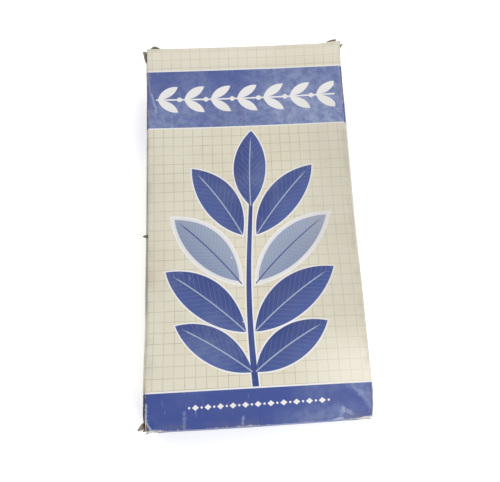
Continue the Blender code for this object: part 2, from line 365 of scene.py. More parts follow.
def fold_end(end, s, v, straight=False):
    """Outer skin of a lid and its tuck at blank coordinates s, v."""
    sign = SIGNS[end]
    x = (MIDDLES[end] - s) * sign
    t = v * sign - HALF_LENGTH
    y, z = path_across(t, straight)
    root = fold_walls(s, np.full_like(v, sign * HALF_LENGTH))
    drop = (root[..., 2] if end == "top" else DEPTH - root[..., 2]) * np.where(t > 0, 1, 0)
    way = np.clip(t / CRUSHED_RUN, 0, 1)
    z = z + drop * (1 - eased(way))
    y = y + CRUSH_BULGE * drop * np.sin(math.pi * way)
    if end == "bottom":
        near = np.clip(1 - (x + LID_SIDE) / BURST["reach"], 0, 1)
        y = y + BURST["out"] * near**2 * np.sin(math.pi * np.clip(t / BURST["run"], 0, 1))
    share = np.clip((t - CREASE_END) / (TUCK_CREASE_START - CREASE_END), 0, 1)
    bow = LID_BOW[end] * np.sin(math.pi * share) * np.clip(1 - (x / HALF_WIDTH) ** 4, 0, 1)
    y = y + np.where(t < TUCK_CREASE_START, bow, 0)
    if end == "top":
        z = z + LONG_FORM[-1]["rise"] * DEPTH * (1 - (x / HALF_WIDTH) ** 2) * eased(share)
    world_y = sign * (HALF_LENGTH + y)
    world_z = z if end == "top" else DEPTH - z
    folded = np.stack(np.broadcast_arrays(x, world_y, world_z), axis=-1)
    on_wall = (t <= 0)[..., None]
    return np.where(on_wall, fold_walls(s, v), folded)


# Materials


def feed(socket, value):
    """Sets a socket to a number or a colour, or links the field or the output that feeds it."""
    value = value.socket if isinstance(value, Field) else value
    if isinstance(value, bpy.types.NodeSocket):
        socket.id_data.links.new(value, socket)
    else:
        socket.default_value = value


def add_node(tree, kind, inputs, **settings):
    """A shader node with its settings, and with what feeds its inputs."""
    node = tree.nodes.new(f"ShaderNode{kind}")
    for name, value in settings.items():
        setattr(node, name, value)
    for name, value in inputs.items():
        feed(node.inputs[name], value)
    return node


class Field:
    """A number that varies over a surface: an output of a material's nodes, with arithmetic."""

    def __init__(self, socket):
        self.socket = socket

    def of(self, operation, *others):
        inputs = dict(enumerate((self, *others)))
        return Field(add_node(self.socket.id_data, "Math", inputs, operation=operation).outputs[0])

    __add__ = __radd__ = partialmethod(of, "ADD")
    __sub__ = partialmethod(of, "SUBTRACT")
    __mul__ = __rmul__ = partialmethod(of, "MULTIPLY")
    __truediv__ = partialmethod(of, "DIVIDE")
    size = partialmethod(of, "ABSOLUTE")
    lower = partialmethod(of, "MINIMUM")
    higher = partialmethod(of, "MAXIMUM")

    def __rsub__(self, other):
        return self * -1 + other

    def held(self):
        return self.higher(0.0).lower(1.0)

    def ramp(self, start, end):
        """0 at start and 1 at end, eased and held between them. start may be the larger."""
        inputs = {
            "Value": self,
            "From Min": min(start, end),
            "From Max": max(start, end),
            "To Min": 1.0 if start > end else 0.0,
            "To Max": 0.0 if start > end else 1.0,
        }
        node = add_node(self.socket.id_data, "MapRange", inputs, interpolation_type="SMOOTHSTEP")
        return Field(node.outputs["Result"])

    def repeat(self, pitch):
        """Signed distance to the nearest multiple of pitch."""
        return (self + pitch / 2).of("FLOORED_MODULO", pitch) - pitch / 2


class Surface:
    """Nodes of one material, in millimetres: of the blank where flat, and otherwise of the folded carton."""

    def __init__(self, name, flat=True):
        self.material = bpy.data.materials.new(name)
        self.material.use_nodes = True
        self.tree = self.material.node_tree
        self.shader = self.tree.nodes["Principled BSDF"]
        if flat:
            source = add_node(self.tree, "UVMap", {}, uv_map=BLANK).outputs["UV"]
        else:
            source = add_node(self.tree, "TexCoord", {}).outputs["Object"]
        scaled = add_node(self.tree, "VectorMath", {0: source, "Scale": 1 / MM}, operation="SCALE")
        self.place = scaled.outputs["Vector"]
        parts = add_node(self.tree, "SeparateXYZ", {0: self.place})
        self.s = Field(parts.outputs["X"])
        self.v = Field(parts.outputs["Y"])
        self.ink = self.s * 0
        self.colour = None

    def texture(self, kind, output, size, stretch, shift, turn=0.0, **inputs):
        """A texture with features of about size millimetres, moved by shift features."""
        placing = {
            "Vector": self.place,
            "Location": shift,
            "Rotation": (0, 0, turn),
            "Scale": (stretch[0] / size, stretch[1] / size, 1),
        }
        placed = add_node(self.tree, "Mapping", placing).outputs["Vector"]
        node = add_node(self.tree, kind, {"Vector": placed, "Scale": 1.0, **inputs})
        return Field(node.outputs[output])

    def noise(self, size, detail=2.0, stretch=(1, 1), shift=0.0, rough=0.5, turn=0.0):
        """Smooth noise from 0 to 1."""
        shift = (shift, shift * 1.7, shift * 0.3)
        return self.texture("TexNoise", "Fac", size, stretch, shift, turn, Detail=detail, Roughness=rough)

    def cells(self, size, stretch=(1, 1), shift=0.0):
        """Distance to the nearest of scattered points, in cells."""
        return self.texture("TexVoronoi", "Distance", size, stretch, (shift, shift * 1.3, 0))

    def mixed(self, below, above, share):
        """Colour between below and above, each a colour or a socket."""
        node = add_node(self.tree, "Mix", {"Factor": share}, data_type="RGBA")
        for value, socket in zip((below, above), (item for item in node.inputs if item.type == "RGBA")):
            feed(socket, value)
        return next(item for item in node.outputs if item.type == "RGBA")

    def paint(self, colour, share):
        """Lays a colour over what is there."""
        self.colour = self.mixed(self.colour, colour, share)

    def bump(self, height, distance, below=None):
        """Bump from a height of 0 to 1, which stands for distance metres, over the bump below."""
        inputs = {"Height": height, "Distance": distance}
        if below is not None:
            inputs["Normal"] = below
        return add_node(self.tree, "Bump", inputs).outputs["Normal"]

    def finish(self, colour, roughness, normal):
        for name, value in (("Base Color", colour), ("Roughness", roughness), ("Normal", normal)):
            feed(self.shader.inputs[name], value)
        return self.material


def srgb(red, green, blue):
    """A colour from its 0 to 255 screen values."""
    return tuple(
        (value / 255 / 12.92 if value <= 10 else ((value / 255 + 0.055) / 1.055) ** 2.4)
        for value in (red, green, blue)
    ) + (1.0,)


CREAM = srgb(203, 198, 180)
CREAM_WARM = srgb(196, 186, 162)
GRID_INK = srgb(152, 147, 134)
BAND_BLUE = srgb(40, 62, 130)
LEAF_BLUE = srgb(26, 50, 116)
LEAF_LIGHT = srgb(62, 84, 146)
PALE_BLUE = srgb(148, 158, 176)
PALE_DARK = srgb(98, 112, 146)
# Pale blue for rubbed, clouded ink, also used for painted sheen and painted highlights on the blue
RUB_AND_SHEEN_BLUE = srgb(150, 161, 188)
WHITE_INK = srgb(215, 213, 212)
BARE_FIBRE = srgb(206, 201, 190)
DIRT = srgb(122, 112, 90)
# Painted shade on the cream of the front
SHADED_CREAM = srgb(170, 164, 150)
# Painted light on the cream of the front
LIT_CREAM = srgb(222, 215, 203)
# Dirt together with painted shade, on the left wall's edge, the torn tab and the flake
EDGE_DIRT_AND_SHADE = srgb(84, 78, 62)
# Painted shade: dark navy laid over the left wall
LEFT_WALL_SHADE = srgb(24, 31, 54)
BACK_GREY = srgb(142, 134, 118)
BACK_DARK = srgb(104, 96, 82)
EDGE_GREY = srgb(126, 118, 102)

# The print, in millimetres. The grid's rows are counted from the top end, its columns from the front's left
MM_WIDTH = WIDTH / MM
MM_DEPTH = DEPTH / MM
MM_HALF = HALF_LENGTH / MM
GRID_PITCH = 7.97
GRID_FIRST = 4.9
GRID_TOP = 11.15
GRID_LINE = 0.20
HALO = 1.1
CRISP = 0.12
BAND_TOP = MM_HALF - 22.4
BAND_BOTTOM = MM_HALF - 74.3
FOOT_TOP = -MM_HALF + 24.5

# The sprig on the front, in millimetres from the front's middle. turn: degrees from upright
LEAVES = rows_of(
    "x v turn length half tone",
    (29.0, -101.0, 58, 66, 12.5, "dark"),
    (34.0, -66.0, 52, 78, 14.5, "dark"),
    (34.0, -26.0, 46, 80, 15.0, "pale"),
    (27.0, 14.0, 37, 72, 13.5, "dark"),
    (0.0, 42.0, 0, 66, 13.0, "dark"),
)
STEM_TOP = 20.0
SPRIG_TOP = 82.0

# The upper band's garland: a bead and two leaves in each pitch. The foot band's row: a diamond and a dot
GARLAND = {"pitch": 22.0, "half": 74.4, "stem": 0.7, "bead": 2.1, "leaf_out": 6.2, "leaf_turn": 34}
GARLAND_LEAF = {"x": 1.5, "length": 20, "half": 3.7}
FOOT_ROW = {"pitch": 9.0, "half": 51.5, "diamond": 2.0, "dot": 0.8, "up": 1.5}

# Rubbed lines and spots on the front, in millimetres from its middle. Some are painted light and shade:
# highlights along the crushed corner's folds and down the upper band's right edge, a shade line in the right
# crease of the foot band, and dark patches of dirt with painted shade on the torn tab and the flake
MARKS = rows_of(
    "from to width soft tone strength",
    ((-78.2, 111.3), (-74.0, 94.5), 0.8, 0.7, "cloud", 0.55),
    ((-79.9, 130.5), (-79.4, 111.2), 0.6, 0.5, "cloud", 0.35),
    # A light line down the upper band's right edge: rubbed ink with a painted highlight on the rounded
    # crease
    ((79.3, 131.0), (79.6, 92.0), 0.5, 0.5, "cloud", 0.40),
    ((-52.9, -143.0), (-53.5, -152.9), 0.8, 1.4, "cloud", 0.26),
    ((-11.1, -148.7), (-11.4, -154.5), 0.8, 1.1, "cloud", 0.42),
    # Light lines along the folds of the crushed corner: rubbed ink with painted highlights
    ((63.7, -130.0), (72.5, -136.9), 1.2, 2.0, "cloud", 0.15),
    ((72.5, -136.9), (79.7, -148.1), 1.0, 1.6, "cloud", 0.22),
    ((59.3, -147.2), (65.7, -150.5), 1.3, 1.5, "cloud", 0.42),
    ((59.3, -147.2), (57.6, -153.5), 1.1, 1.4, "cloud", 0.34),
    # Painted shade: a dark line in the right crease of the foot band
    ((79.6, -131.0), (79.8, -146.0), 0.3, 0.3, "ink", 0.60),
    ((53.5, -154.1), (59.8, -153.5), 0.6, 0.6, "cloud", 0.95),
    ((73.5, -154.1), (80.8, -153.5), 0.6, 0.5, "fibre", 0.85),
    ((-80.7, -136.0), (-80.3, -148.8), 0.7, 0.8, "cloud", 0.85),
    ((-80.2, -148.8), (-77.3, -153.0), 0.8, 0.5, "cloud", 0.90),
    # Dark patches on the torn tab under the left bottom corner: dirt with painted shade
    ((-81.0, -149.8), (-79.6, -153.6), 1.9, 0.3, "dirt", 0.90),
    ((-84.2, -145.9), (-84.1, -155.7), 4.4, 0.8, "dirt", 0.85),
    ((-77.6, -153.6), (-70.0, -153.8), 0.3, 0.5, "cloud", 0.70),
    # A dark patch on the flake: dirt with painted shade
    ((-83.4, -12.5), (-86.0, -12.5), 3.6, 0.6, "dirt", 0.90),
    ((-16.2, -32.4), (-15.9, -32.8), 0.4, 0.4, "fibre", 0.80),
    ((-8.7, -82.1), (-8.3, -82.4), 0.4, 0.4, "fibre", 0.70),
    ((-9.6, -102.7), (-9.1, -102.3), 0.4, 0.4, "fibre", 0.70),
)


def up_to(value, edge=0.0, soft=CRISP):
    """1 where value is below edge, with a border of soft to both sides."""
    return value.ramp(edge + soft, edge - soft)


def band(value, low, high, soft=CRISP):
    """1 between low and high."""
    return value.ramp(low - soft, low + soft) * up_to(value, high, soft)


def distance(across, along):
    return (across * across + along * along).of("SQRT")


def leaf_shape(x, v, row):
    """Along and across a leaf, and the distance outside its outline, in millimetres."""
    turn = math.radians(row["turn"])
    dx, dv = x - row["x"], v - row["v"]
    along = dx * math.sin(turn) + dv * math.cos(turn)
    across = dx * math.cos(turn) - dv * math.sin(turn)
    half_length = row["length"] / 2
    across = across - (along * along - half_length**2) * 0.0016
    radius = (half_length**2 + row["half"] ** 2) / (2 * row["half"])
    inset = across.size() + (radius - row["half"])
    return along, across, distance(along, inset) - radius


def stroke(x, v, mark, wander):
    """A straight mark: 1 on its line, and fading at its sides. wander, around 0, frays the sides."""
    start, way = mark["from"], Vector(mark["to"]) - Vector(mark["from"])
    dx, dv = x - start[0], v - start[1]
    share = (dx * (way.x / way.length_squared) + dv * (way.y / way.length_squared)).held()
    away = distance(dx - share * way.x, dv - share * way.y) + wander * mark["soft"]
    return away.ramp(mark["width"] / 2 + mark["soft"], mark["width"] / 2)


def print_grid(look):
    """The cream coating and the thin square grid, fainter in places."""
    look.colour = look.mixed(CREAM, CREAM_WARM, look.noise(46, 2, shift=5).ramp(0.40, 0.76) * 0.5)
    wobble = (look.noise(26, 1) - 0.5) * 0.25
    half_line = look.noise(7, 2, shift=3) * 0.16 + GRID_LINE - 0.05
    columns = (look.s - MM_DEPTH - GRID_FIRST + wobble).repeat(GRID_PITCH).size()
    rows = (look.v - MM_HALF + GRID_TOP + wobble).repeat(GRID_PITCH).size()
    lines = (columns.lower(rows) - half_line).ramp(0.14, -0.04)
    look.paint(GRID_INK, lines * (look.noise(17, 2, shift=9) * 0.80 + 0.10).held())


def print_leaf(look, row, along, across, outside, shown):
    """One leaf's body with its rib and veins: dark blue, or pale with fine ribs and a white border."""
    inside = up_to(outside) * shown
    lean = (across / row["half"]).ramp(-1.0, 1.0)
    half_length = row["length"] / 2
    pale = row["tone"] == "pale"
    vein = (along - across.size() * 1.15).repeat(1.7 if pale else 5.2).size()
    rib = (across.size() - 0.42).ramp(0.12, -0.08) * along.ramp(half_length * 0.86, half_length * 0.6)
    if pale:
        body = look.mixed(PALE_BLUE, PALE_DARK, (vein.ramp(0.62, 0.25) * 0.55 + lean * 0.40).held())
        body = look.mixed(body, WHITE_INK, outside.ramp(-2.1, -1.9) * 0.85)
        body = look.mixed(body, LEAF_BLUE, rib)
    else:
        body = look.mixed(LEAF_BLUE, LEAF_LIGHT, (lean * 0.62 - 0.06).held())
        veins = vein.ramp(0.34, 0.14) * (across.size() - row["half"] * 0.86).ramp(0.6, -2.5)
        body = look.mixed(body, PALE_DARK, veins * 0.5)
        body = look.mixed(body, PALE_BLUE, rib)
    look.paint(body, inside)
    look.ink = look.ink * (1 - inside) + inside * (0.45 if pale else 1.0)


def print_sprig(look, x):
    """A stem with mirrored leaves, all outlined in white."""
    v = look.v
    sway = x - (v * 0.022).of("SINE") * 3.5
    shown = v.ramp(FOOT_TOP - 1, FOOT_TOP) * v.ramp(SPRIG_TOP, SPRIG_TOP - 1)
    shapes = [(row, *leaf_shape(sway if row["x"] == 0 else sway.size(), v, row)) for row in LEAVES]
    stem = sway.size() - (v * -0.006 + 1.6)
    stem_shown = up_to(v, STEM_TOP, 2) * shown
    outline = up_to(stem, HALO) * stem_shown
    for _, _, _, outside in shapes:
        outline = outline.higher(up_to(outside, HALO) * shown)
    look.paint(WHITE_INK, outline)
    inside = up_to(stem) * stem_shown
    look.paint(LEAF_BLUE, inside)
    look.ink = look.ink.higher(inside)
    for row, along, across, outside in shapes:
        print_leaf(look, row, along, across, outside, shown)


def print_bands(look, x):
    """The upper band with a garland of leaves and beads, and the foot band with diamonds and dots."""
    v = look.v
    outline = band(v, BAND_BOTTOM - HALO, BAND_TOP + HALO).higher(up_to(v, FOOT_TOP + HALO))
    look.paint(WHITE_INK, outline)
    blue = band(v, BAND_BOTTOM, BAND_TOP).higher(up_to(v, FOOT_TOP))
    look.paint(BAND_BLUE, blue)
    look.ink = look.ink.higher(blue)

    middle = (BAND_TOP + BAND_BOTTOM) / 2
    step = x.repeat(GARLAND["pitch"])
    garland = up_to((v - middle).size(), GARLAND["stem"])
    bead = distance(step.size() - GARLAND["pitch"] / 2, v - middle)
    garland = garland.higher(up_to(bead, GARLAND["bead"]))
    for side in (1, -1):
        turned = {"v": middle + side * GARLAND["leaf_out"], "turn": 90 - side * GARLAND["leaf_turn"]}
        garland = garland.higher(up_to(leaf_shape(step, v, GARLAND_LEAF | turned)[2]))
    garland = garland * up_to(x.size(), GARLAND["half"], 0.2)

    up = v - ((FOOT_TOP - MM_HALF) / 2 + FOOT_ROW["up"])
    pitch = FOOT_ROW["pitch"]
    diamonds = up_to(x.repeat(pitch).size() * 0.8 + up.size(), FOOT_ROW["diamond"])
    dots = up_to(distance((x + pitch / 2).repeat(pitch), up), FOOT_ROW["dot"])
    ornament = garland.higher(diamonds.higher(dots) * up_to(x.size(), FOOT_ROW["half"], 0.1))
    look.paint(WHITE_INK, ornament)
    look.ink = look.ink * (1 - ornament)


def clouding_and_sheen(look, x):
    """How far rubbing has clouded the blue, together with painted sheen over the upper band and a painted
    highlight on the pressed flat. It is most at the upper band's right and foot.
    """
    v = look.v
    on_front = up_to(x.size(), MM_WIDTH / 2, 1)
    lower_part = v.ramp(BAND_TOP - 6, BAND_BOTTOM + 14)
    # The haze over the upper band is rubbed ink and also the painted sheen of its gloss
    upper = v.ramp(BAND_BOTTOM - 2, BAND_BOTTOM) * (x.ramp(-15, 50) * 0.26 + lower_part * 0.18 + 0.10)
    low_edge = v.ramp(-MM_HALF + 14, -MM_HALF + 4) * band(x, 14, 66, 14)
    foot = v.ramp(FOOT_TOP + 2, FOOT_TOP) * (x.ramp(10, 70) * 0.05 + low_edge * 0.16)
    # The pressed flat at the crushed corner gets a painted highlight where its facet would catch the light
    start, end = (Vector(FLAT[key]) * Vector((MM_WIDTH / 2, MM_HALF)) for key in ("from", "to"))
    way = (end - start).normalized()
    flat = ((v - start.y) * way.x - (x - start.x) * way.y).ramp(-0.8, 1.2)
    foot = foot + flat * v.ramp(FOOT_TOP + 1, FOOT_TOP) * 0.24
    mottle = look.noise(5.5, 4, shift=31, rough=0.65).ramp(0.28, 0.74)
    cloud = look.noise(48, 3, shift=21).ramp(0.42, 0.74) * 0.14
    return ((upper + foot) * on_front + cloud) * (mottle * 0.9 + 0.5)


def rub_with_painted_light(look):
    """Haze, scratches and stains over the whole print, with painted sheen and highlights on the blue,
    painted shade on the cream at the middle of the front's sides, and painted light on it at the top end and
    the lower right.
    """
    x = look.s - (MM_DEPTH + MM_WIDTH / 2)
    look.paint(RUB_AND_SHEEN_BLUE, clouding_and_sheen(look, x) * look.ink)
    scuff = look.noise(1.6, 3, (1, 0.16), shift=41, turn=0.5).ramp(0.60, 0.74)
    scuff = scuff * look.noise(30, 1, shift=47).ramp(0.50, 0.68)
    look.paint(RUB_AND_SHEEN_BLUE, scuff * look.ink * 0.30)
    stain = look.noise(33, 4, shift=52, rough=0.6).ramp(0.50, 0.82)
    look.paint(DIRT, stain * 0.12)
    speck = look.cells(13, shift=4).ramp(0.034, 0.012) * look.noise(31, 0, shift=57).ramp(0.5, 0.6)
    look.paint(WHITE_INK, speck * look.ink * 0.5)
    look.paint(DIRT, speck * (1 - look.ink) * 0.45)
    v = look.v
    # Painted shade: the cream darkened at the middle of the front's right and left sides
    painted_shade = x.ramp(20, 75) * band(v, -96, 92, 30) + x.ramp(-60, -78) * band(v, -60, 60, 30) * 0.5
    look.paint(SHADED_CREAM, painted_shade * (1 - look.ink) * 0.42)
    # Painted light: the cream lightened at the top end and at the lower right
    painted_light = v.ramp(128, 150) * 0.35 + v.ramp(-80, -118) * x.ramp(20, 70) * 0.55
    look.paint(LIT_CREAM, painted_light * (1 - look.ink))
    tones = {"cloud": RUB_AND_SHEEN_BLUE, "fibre": BARE_FIBRE, "dirt": EDGE_DIRT_AND_SHADE, "ink": LEAF_BLUE}
    wander = (look.noise(1.8, 4, shift=36, rough=0.7) - 0.5) * 5.0
    for mark in MARKS:
        look.paint(tones[mark["tone"]], stroke(x, v, mark, wander) * mark["strength"])
    return stain


def wear_creases_and_shade(look, stain):
    """Creases and ends, where the coating cracks and dirt gathers, and painted shade on the left wall: dirt
    with painted shade under its crease, and a dark navy painted shade over its bands.
    """
    s, v = look.s, look.v
    folds = s.size()
    for place in CREASES[1:]:
        folds = folds.lower((s - place / MM).size())
    ends = (v.size() - MM_HALF - 0.6).size()
    roughly = look.noise(2.2, 5, shift=61, rough=0.75)
    patchy = look.noise(13, 2, shift=66)
    corner = folds.ramp(20, 2) * ends.ramp(20, 2)
    worn_long = (folds + roughly * 2.8 - patchy * 2.0 - corner * 0.9).ramp(0.80, 0.25)
    worn_end = (ends + roughly * 3.2 - patchy * 2.0 - corner * 1.0).ramp(0.75, 0.20)
    worn = worn_long.higher(worn_end)
    look.paint(BARE_FIBRE, worn * 0.85)
    soiled = folds.lower(ends).ramp(7.0, 0.5) * stain.higher(patchy.ramp(0.4, 0.7))
    look.paint(DIRT, soiled * 0.20)
    below_left = s * -1 + MM_DEPTH
    # Dirt with painted shade along the top of the left wall under its crease, with less of it lower on the
    # cream
    edge_dirt_and_shade = below_left.ramp(-0.4, 1.2) * below_left.ramp(13, 3)
    cleaner = 1 - band(v, -126, -72, 10) * 0.75
    look.paint(EDGE_DIRT_AND_SHADE, edge_dirt_and_shade * cleaner * (patchy * 0.7 + 0.35).held() * (1 - worn * 0.5))
    # Painted shade: the left wall's bands darkened to a mottled dark navy below its upper edge
    shaded = below_left.ramp(-0.2, 0.6) * below_left.ramp(26, 8) * (patchy * 0.6 + 0.7).held()
    banded = up_to(v, FOOT_TOP, 1).higher(band(v, BAND_BOTTOM, BAND_TOP, 1) * 0.7)
    look.paint(LEFT_WALL_SHADE, shaded * banded * 0.92)
    return worn.higher(shaded * banded)


def printed_board():
    """The printed outer skin: cream coating, square grid, blue bands, a leafy sprig, their wear, and painted
    light and shade.
    """
    look = Surface("printed_board")
    turn = MM_WIDTH + MM_DEPTH
    x = (look.s - (MM_DEPTH + MM_WIDTH / 2) + turn / 2).of("FLOORED_MODULO", turn) - turn / 2
    print_grid(look)
    print_sprig(look, x)
    print_bands(look, x)
    stain = rub_with_painted_light(look)
    worn = wear_creases_and_shade(look, stain)
    normal = look.bump(look.noise(5.5, 2, shift=76), 0.10 * MM)
    normal = look.bump(look.noise(0.55, 3, shift=71), 0.012 * MM, normal)
    normal = look.bump(1 - worn, 0.06 * MM, normal)
    roughness = look.noise(21, 3, shift=81) * 0.16 + 0.38 + worn * 0.35 - look.ink * 0.03
    look.shader.inputs["Specular IOR Level"].default_value = 0.4
    return look.finish(look.colour, roughness, normal)


def grey_back(name, flat=True):
    """The uncoated inner skin: grey recycled board with flecks of fibre."""
    look = Surface(name, flat)
    cloud = look.noise(18, 4, shift=5, rough=0.6)
    fibre = look.noise(1.3, 4, (1, 0.3), shift=8, rough=0.7)
    flecks = look.cells(2.4, (1, 0.5), shift=2).ramp(0.16, 0.06) * look.noise(6, 1, shift=12).ramp(0.45, 0.6)
    colour = look.mixed(BACK_GREY, BACK_DARK, (cloud * 0.5 + fibre * 0.5).ramp(0.35, 0.75) * 0.6)
    colour = look.mixed(colour, BACK_DARK, flecks * 0.6)
    colour = look.mixed(colour, BARE_FIBRE, look.cells(3.1, shift=7).ramp(0.12, 0.05) * 0.3)
    normal = look.bump(fibre, 0.03 * MM)
    return look.finish(colour, fibre * 0.1 + 0.84, normal)


def cut_edge():
    """The cut edge of the board, where its plies show."""
    look = Surface("cut_edge")
    fibre = look.noise(0.8, 4, shift=3, rough=0.7)
    patch = look.noise(6, 2, shift=9)
    colour = look.mixed(EDGE_GREY, BARE_FIBRE, (fibre * 0.6 + patch * 0.4).ramp(0.45, 0.75) * 0.6)
    normal = look.bump(fibre, 0.05 * MM)
    return look.finish(colour, fibre * 0.1 + 0.82, normal)


# Outer skin, inner skin and rim
LOOKS = (printed_board(), grey_back("board_back"), cut_edge())


# Pieces of board


def spaced(start, end, fine, coarse, near):
    """Places from start to end, fine apart within near of both ends and coarse apart between them."""
    length = end - start
    reach = min(near, length / 2)
    edge = np.linspace(0, reach, max(2, int(round(reach / fine)) + 1))
    middle = np.linspace(reach, length - reach, max(2, int(round((length - 2 * reach) / coarse)) + 1))
    places = np.concatenate((edge, middle, length - edge[::-1]))
    return start + np.unique(np.round(places, 9))


# The kinds of a board's faces, and where each lies in the layout for baking: lower edge and height
OUTER, INNER, RIM = range(3)
BAKE_ROWS = {OUTER: (0.004, 0.776), INNER: (0.790, 0.170), RIM: (0.972, 0.012)}
BAKE_MARGIN = 0.004


def board(name, points, s, v, outward, keep=None):
    """A piece of board from a grid of points on its outer skin.

    s and v are the points' blank coordinates, and outward is a rough direction that the outer skin faces at
    the grid's middle. keep says which cells of the grid exist, if not all. The inner skin lies one board's
    thickness in.
    """
    rows, columns = points.shape[:2]
    if keep is None:
        keep = np.ones((rows - 1, columns - 1), bool)
    points = racked(points)
    normal = np.cross(np.gradient(points, axis=0), np.gradient(points, axis=1))
    normal /= np.maximum(np.linalg.norm(normal, axis=-1, keepdims=True), 1e-12)
    turn = -1 if np.dot(normal[rows // 2, columns // 2], outward) < 0 else 1
    inner = points - turn * normal * BOARD
    count = rows * columns
    number = np.arange(count).reshape(rows, columns)
    kept = np.pad(keep, 1)
    faces, kinds = [], []
    for row, column in np.argwhere(keep):
        a, b = number[row : row + 2, column].tolist()
        d, c = number[row : row + 2, column + 1].tolist()
        ring = (a, b, c, d)[::turn]
        faces += [ring, tuple(count + corner for corner in ring[::-1])]
        kinds += [OUTER, INNER]
        sides = (
            ((a, b), kept[row + 1, column]),
            ((b, c), kept[row + 2, column + 1]),
            ((c, d), kept[row + 1, column + 2]),
            ((d, a), kept[row, column + 1]),
        )
        for pair, joined in sides:
            if not joined:
                last, first = pair[::turn]
                faces.append((first, last, count + last, count + first))
                kinds.append(RIM)
    mesh = bpy.data.meshes.new(name)
    mesh.from_pydata(np.concatenate((points, inner)).reshape(-1, 3).tolist(), [], faces)
    for look in LOOKS:
        mesh.materials.append(look)
    for face, kind in zip(mesh.polygons, kinds):
        face.material_index = kind
        face.use_smooth = True
    write_maps(mesh, np.stack((s, v), -1).reshape(-1, 2), count)
    made = bpy.data.objects.new(name, mesh)
    bpy.context.scene.collection.objects.link(made)
    clean(made)
    return made


def write_maps(mesh, blank, count):
    """The blank's coordinates as one UV map, and a layout for baking as another."""
    blank_map = mesh.uv_layers.new(name=BLANK)
    bake_map = mesh.uv_layers.new(name=BAKE)
    low, high = blank.min(0), blank.max(0)
    share = (blank - low) / np.maximum(high - low, 1e-9)
    for face in mesh.polygons:
        start, height = BAKE_ROWS[face.material_index]
        for loop in face.loop_indices:
            vertex = mesh.loops[loop].vertex_index
            u, w = share[vertex % count]
            if face.material_index == RIM:
                u = u if abs(u - 0.5) < abs(w - 0.5) else w
                w = 1 if vertex >= count else 0
            blank_map.data[loop].uv = tuple(blank[vertex % count])
            bake_map.data[loop].uv = (BAKE_MARGIN + (1 - 2 * BAKE_MARGIN) * u, start + height * w)


def clean(made):
    """Drops loose points and marks the edges between the skins and the rim sharp."""
    mesh = bmesh.new()
    mesh.from_mesh(made.data)
    bmesh.ops.delete(mesh, geom=[vertex for vertex in mesh.verts if not vertex.link_faces], context="VERTS")
    for edge in mesh.edges:
        kinds = {face.material_index for face in edge.link_faces}
        edge.smooth = len(kinds) < 2
    mesh.to_mesh(made.data)
    mesh.free()


def cell_middles(grid):
    """The values at the middles of a grid's cells."""
    return (grid[:-1, :-1] + grid[1:, 1:]) / 2


def with_marks(places, marks):
    """The sorted places with the marks that lie among them, without places too near to a mark."""
    marks = np.array([mark for mark in marks if places[0] <= mark <= places[-1]])
    if not len(marks):
        return places
    far = np.abs(places[:, None] - marks).min(1) > 0.15 * MM
    far[[0, -1]] = True
    return np.unique(np.concatenate((places[far], marks)))


def wall(name, start, end, outward, notches=()):
    """A piece of the four walls between two places in s. notches are (end, low s, high s) cut-outs."""
    tear_columns = [crease_of(tear) + tear["side"] * TEAR_EDGE for tear in TEARS]
    tear_rows = [tear["end"] * tear_start(tear) for tear in TEARS]
    s = spaced(start, end, 0.45 * MM, 4 * MM, 2.4 * SEAM_INSET)
    v = spaced(-HALF_LENGTH, HALF_LENGTH, 0.8 * MM, 3.6 * MM, 30 * MM)
    s = with_marks(s, [edge for notch in notches for edge in notch[1:]] + tear_columns)
    v = with_marks(v, [notch[0] * (HALF_LENGTH - LID_STRIP) for notch in notches] + tear_rows)
    s_grid, v_grid = np.meshgrid(s, v)
    s_mid, v_mid = cell_middles(s_grid), cell_middles(v_grid)
    keep = np.ones(s_mid.shape, bool)
    for side, low, high in notches:
        keep &= ~((s_mid > low) & (s_mid < high) & (v_mid * side > HALF_LENGTH - LID_STRIP))
    for number, tear in enumerate(TEARS):
        below = (s_mid - crease_of(tear)) * tear["side"]
        parted = v_mid * tear["end"] > tear_start(tear)
        keep &= ~(parted & (below > TEAR_EDGE) & (below < SEAM_INSET))
        column = np.isclose(s, tear_columns[number])
        wander = tear["side"] * (ragged(v, 0.16 * MM, number) - 0.05 * MM)
        s_grid[:, column] += np.where(v * tear["end"] > tear_start(tear), wander, 0)[:, None]
    return board(name, fold_walls(s_grid, v_grid), s_grid, v_grid, outward, keep)


def torn_strip(tear, seed):
    """The ragged strip of a side wall beside a torn crease. It splays out towards the carton's end."""
    side = tear["side"]
    run = tear["run"] * LENGTH
    along = spaced(0, run, 0.3 * MM, 0.6 * MM, run / 3)
    share = np.linspace(0, 1, 13)
    opened = np.clip(along / run, 0, 1)
    width = SEAM_INSET - TEAR_EDGE - (ragged(along, 0.5 * MM, seed) + 0.5 * MM) * eased(along / (2 * MM))
    end_cut = ragged(share * SEAM_INSET, 0.4 * MM, seed + 1)
    end_cut = end_cut + SEAM_INSET * (tear["root_cut"] * (1 - share) ** 2 + tear["tip_cut"] * share**2)
    end_cut = end_cut * opened[:, None] ** 3
    below = SEAM_INSET - width[:, None] * share
    s = crease_of(tear) + side * below
    v = tear["end"] * (HALF_LENGTH - run + along[:, None] - end_cut)
    root_s = np.full_like(s, crease_of(tear) + side * SEAM_INSET)
    offset = fold_walls(s, v, leaning=False) - fold_walls(root_s, v, leaning=False)
    angle = math.radians(tear["turn"]) * opened[:, None] ** tear["opening"] * (0.55 + 0.45 * share)
    out, up = offset[..., 0] * side, offset[..., 2]
    turned = np.stack((
        side * (out * np.cos(angle) + up * np.sin(angle)),
        offset[..., 1],
        up * np.cos(angle) - out * np.sin(angle),
    ), axis=-1)
    points = fold_walls(root_s, v) + turned
    name = f"torn_{SIDES[side]}_{'top' if tear['end'] > 0 else 'bottom'}"
    return board(name, points, s, v, (side, 0, 0))


